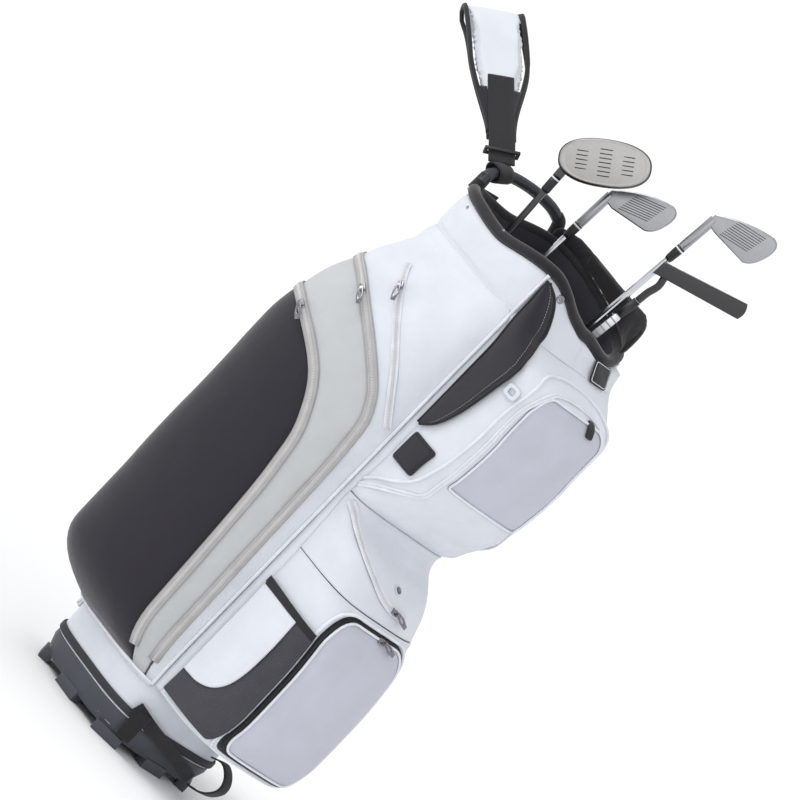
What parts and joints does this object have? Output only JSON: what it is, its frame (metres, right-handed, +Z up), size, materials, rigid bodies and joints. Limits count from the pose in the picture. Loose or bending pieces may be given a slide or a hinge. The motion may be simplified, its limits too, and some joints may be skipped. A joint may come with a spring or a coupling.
{
  "type": "golf club set",
  "caption": "Upright golf cart bag with moulded base, fourteen wells, zipped side pockets, lidded cooler pocket, padded strap and lift handle, holding a driver, wedge, iron and putter.",
  "frame": {"origin": "centre of the base's resting plane, on the moulded pad under the bag", "axes": "+Z up the bag, +X towards the front where the ball and cooler pockets are, -X the spine with the strap, -Y the near side"},
  "size_m": [0.6757, 0.4417, 1.0987],
  "materials": {
    "band_rubber": "ribbed",
    "black_fabric": "woven polyester, matt",
    "black_plastic": "moulded",
    "dark_plastic": "moulded, fine texture",
    "graphite": "lacquered",
    "grey_fabric": "woven polyester, matt",
    "grip_rubber": "textured",
    "gunmetal": "plated zinc, polished",
    "head_paint": "gloss paint",
    "mesh_fabric": "knitted mesh",
    "shade_fabric": "coated woven polyester, matt",
    "shaft_steel": "polished chrome",
    "steel": "satin chrome",
    "titanium": "brushed",
    "webbing": "woven webbing",
    "white_fabric": "coated woven polyester, matt",
    "zip_tape": "woven tape with moulded teeth"
  },
  "bodies": {
    "bag": {"base_tray": "dark_plastic", "base_band": "band_rubber", "main_tube": "white_fabric", "well_divider": "black_plastic", "top_cuff": "white_fabric", "rim_trim": "black_fabric", "far_lip": "black_fabric", "lift_handle": "dark_plastic", "spine_panel": "white_fabric", "near_pocket_face": "black_fabric", "near_pocket_gusset": "grey_fabric", "near_pocket_shoulder": "white_fabric", "far_pocket_face": "black_fabric", "far_pocket_gusset": "grey_fabric", "far_pocket_shoulder": "white_fabric", "near_zip_lower": "zip_tape", "near_zip_upper": "zip_tape", "near_zip_slash": "zip_tape", "upper_pocket_shell": "white_fabric", "upper_pocket_face": "shade_fabric", "mid_pocket": "shade_fabric", "mid_zip": "white_fabric", "cooler_shell": "white_fabric", "cooler_zip": "webbing", "half_moon_pocket": "black_fabric", "glove_patch": "black_fabric", "mesh_pocket": "mesh_fabric", "mesh_pocket_panel": "white_fabric", "towel_loop": "white_fabric", "base_handle": "webbing", "strap_tail": "webbing"},
    "driver": {"driver_grip": "grip_rubber", "driver_shaft": "graphite", "driver_ferrule": "black_plastic", "driver_head": "head_paint", "driver_face": "titanium"},
    "wedge": {"wedge_grip": "grip_rubber", "wedge_shaft": "shaft_steel", "wedge_head": "steel"},
    "iron": {"iron_grip": "grip_rubber", "iron_shaft": "shaft_steel", "iron_head": "steel"},
    "putter": {"putter_grip": "grip_rubber", "putter_shaft": "shaft_steel", "putter_head": "head_paint"},
    "cooler_lid": {"cooler_lid": "shade_fabric"},
    "base_loop": {"base_loop": "webbing"},
    "strap": {"strap_pad": "white_fabric", "strap_webbing": "webbing", "strap_ring": "black_plastic"},
    "near_lower_slider": {"near_lower_slider": "gunmetal"},
    "near_lower_pull": {"near_lower_pull": "gunmetal"},
    "near_upper_slider": {"near_upper_slider": "gunmetal"},
    "near_upper_pull": {"near_upper_pull": "gunmetal"},
    "near_slash_slider": {"near_slash_slider": "gunmetal"},
    "near_slash_pull": {"near_slash_pull": "gunmetal"},
    "mid_slider": {"mid_slider": "gunmetal"},
    "mid_pull": {"mid_pull": "gunmetal"},
    "cooler_slider": {"cooler_slider": "gunmetal"},
    "cooler_pull": {"cooler_pull": "gunmetal"}
  },
  "joints": [
    {"name": "driver_draw", "type": "slide", "parent": "bag", "child": "driver", "axis": [-0.0735, 0.0138, 0.9972], "range_m": [0, 0.9]},
    {"name": "wedge_draw", "type": "slide", "parent": "bag", "child": "wedge", "axis": [0.0069, 0.0723, 0.9974], "range_m": [0, 0.9]},
    {"name": "iron_draw", "type": "slide", "parent": "bag", "child": "iron", "axis": [0.0608, 0.0688, 0.9958], "range_m": [0, 0.9]},
    {"name": "putter_draw", "type": "slide", "parent": "bag", "child": "putter", "axis": [0.0891, 0.0937, 0.9916], "range_m": [0, 0.9]},
    {"name": "near_lower_zip_run", "type": "slide", "parent": "bag", "child": "near_lower_slider", "axis": [0.9345, -0.0331, -0.3544], "range_m": [0, 0.04]},
    {"name": "near_lower_pull_swing", "type": "hinge", "parent": "near_lower_slider", "child": "near_lower_pull", "pos_m": [-0.08268, -0.22168, 0.60785], "axis": [-0.6241, -0.1529, -0.7662], "range_deg": [0, 130]},
    {"name": "near_upper_zip_run", "type": "slide", "parent": "bag", "child": "near_upper_slider", "axis": [0.8903, -0.0232, -0.4547], "range_m": [0, 0.04]},
    {"name": "near_upper_pull_swing", "type": "hinge", "parent": "near_upper_slider", "child": "near_upper_pull", "pos_m": [-0.0434, -0.19782, 0.68284], "axis": [-0.6579, -0.3313, -0.6763], "range_deg": [0, 130]},
    {"name": "near_slash_zip_run", "type": "slide", "parent": "bag", "child": "near_slash_slider", "axis": [0.7564, -0.1266, -0.6418], "range_m": [-0.012, 0.09]},
    {"name": "near_slash_pull_swing", "type": "hinge", "parent": "near_slash_slider", "child": "near_slash_pull", "pos_m": [-0.01468, -0.1786, 0.72165], "axis": [-0.7794, -0.343, -0.5242], "range_deg": [0, 130]},
    {"name": "mid_zip_run", "type": "slide", "parent": "bag", "child": "mid_slider", "axis": [0.0444, 0.9952, -0.0875], "range_m": [-0.03, 0.01]},
    {"name": "mid_pull_swing", "type": "hinge", "parent": "mid_slider", "child": "mid_pull", "pos_m": [0.22835, 0.0084, 0.40323], "axis": [0.4137, -0.4153, -0.8101], "range_deg": [0, 130]},
    {"name": "cooler_zip_run", "type": "slide", "parent": "cooler_lid", "child": "cooler_slider", "axis": [-0.0014, 1, 0.0001], "range_m": [-0.05, 0.03]},
    {"name": "cooler_pull_swing", "type": "hinge", "parent": "cooler_slider", "child": "cooler_pull", "pos_m": [0.24414, 0.01213, 0.36406], "axis": [0.4584, -0.3295, -0.8255], "range_deg": [0, 130]},
    {"name": "cooler_lid_hinge", "type": "hinge", "parent": "bag", "child": "cooler_lid", "pos_m": [0.2449, 0.0865, 0.24], "axis": [0, 0, 1], "range_deg": [0, 110]},
    {"name": "base_loop_swing", "type": "hinge", "parent": "bag", "child": "base_loop", "pos_m": [0.128, 0.062, 0.045], "axis": [0, 0, 1], "range_deg": [-25, 45]},
    {"name": "strap_swing", "type": "hinge", "parent": "bag", "child": "strap", "pos_m": [-0.15, -0.04, 0.9], "axis": [0, 1, 0], "range_deg": [-95, 14]}
  ]
}
